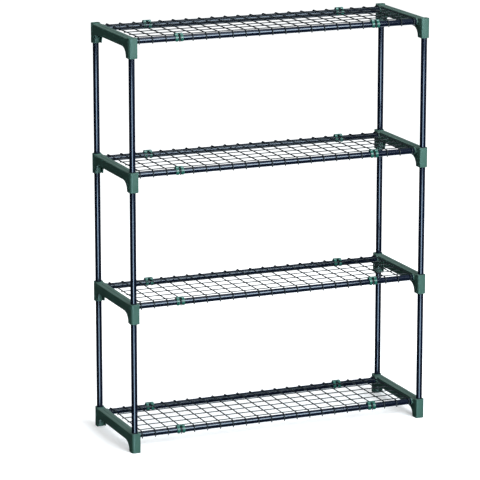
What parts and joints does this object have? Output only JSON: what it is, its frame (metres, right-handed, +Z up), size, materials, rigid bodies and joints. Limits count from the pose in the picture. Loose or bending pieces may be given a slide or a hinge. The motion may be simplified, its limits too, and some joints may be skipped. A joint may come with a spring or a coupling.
{
  "type": "wire shelving rack",
  "caption": "Free-standing tiered rack: push-fit steel tubes in moulded end brackets, with wire decks hooked over front and rear rails and held by snap clips.",
  "frame": {"origin": "centre of the rack's footprint, on the floor", "axes": "+Z up along the posts, +X to the right along the rails, front at -Y"},
  "size_m": [0.9042, 0.3048, 1.1684],
  "materials": {
    "bracket_plastic": "satin moulded green plastic",
    "clip_plastic": "semi-gloss moulded green plastic",
    "tube_paint": "gloss near-black powder coat on thin steel tube",
    "wire_coat": "dark green-grey coated steel wire"
  },
  "bodies": {
    "root": {"clip_front_left_tier_1": "clip_plastic", "clip_front_left_tier_2": "clip_plastic", "clip_front_left_tier_3": "clip_plastic", "clip_front_left_tier_4": "clip_plastic", "clip_front_right_tier_1": "clip_plastic", "clip_front_right_tier_2": "clip_plastic", "clip_front_right_tier_3": "clip_plastic", "clip_front_right_tier_4": "clip_plastic", "clip_rear_left_tier_1": "clip_plastic", "clip_rear_left_tier_2": "clip_plastic", "clip_rear_left_tier_3": "clip_plastic", "clip_rear_left_tier_4": "clip_plastic", "clip_rear_right_tier_1": "clip_plastic", "clip_rear_right_tier_2": "clip_plastic", "clip_rear_right_tier_3": "clip_plastic", "clip_rear_right_tier_4": "clip_plastic", "end_bracket_left_tier_1": "bracket_plastic", "end_bracket_left_tier_2": "bracket_plastic", "end_bracket_left_tier_3": "bracket_plastic", "end_bracket_left_tier_4": "bracket_plastic", "end_bracket_right_tier_1": "bracket_plastic", "end_bracket_right_tier_2": "bracket_plastic", "end_bracket_right_tier_3": "bracket_plastic", "end_bracket_right_tier_4": "bracket_plastic", "post_front_left_level_1": "tube_paint", "post_front_left_level_2": "tube_paint", "post_front_left_level_3": "tube_paint", "post_front_right_level_1": "tube_paint", "post_front_right_level_2": "tube_paint", "post_front_right_level_3": "tube_paint", "post_rear_left_level_1": "tube_paint", "post_rear_left_level_2": "tube_paint", "post_rear_left_level_3": "tube_paint", "post_rear_right_level_1": "tube_paint", "post_rear_right_level_2": "tube_paint", "post_rear_right_level_3": "tube_paint", "rail_front_tier_1": "tube_paint", "rail_front_tier_2": "tube_paint", "rail_front_tier_3": "tube_paint", "rail_front_tier_4": "tube_paint", "rail_rear_tier_1": "tube_paint", "rail_rear_tier_2": "tube_paint", "rail_rear_tier_3": "tube_paint", "rail_rear_tier_4": "tube_paint", "wire_deck_tier_1": "wire_coat", "wire_deck_tier_2": "wire_coat", "wire_deck_tier_3": "wire_coat", "wire_deck_tier_4": "wire_coat"}
  },
  "joints": []
}
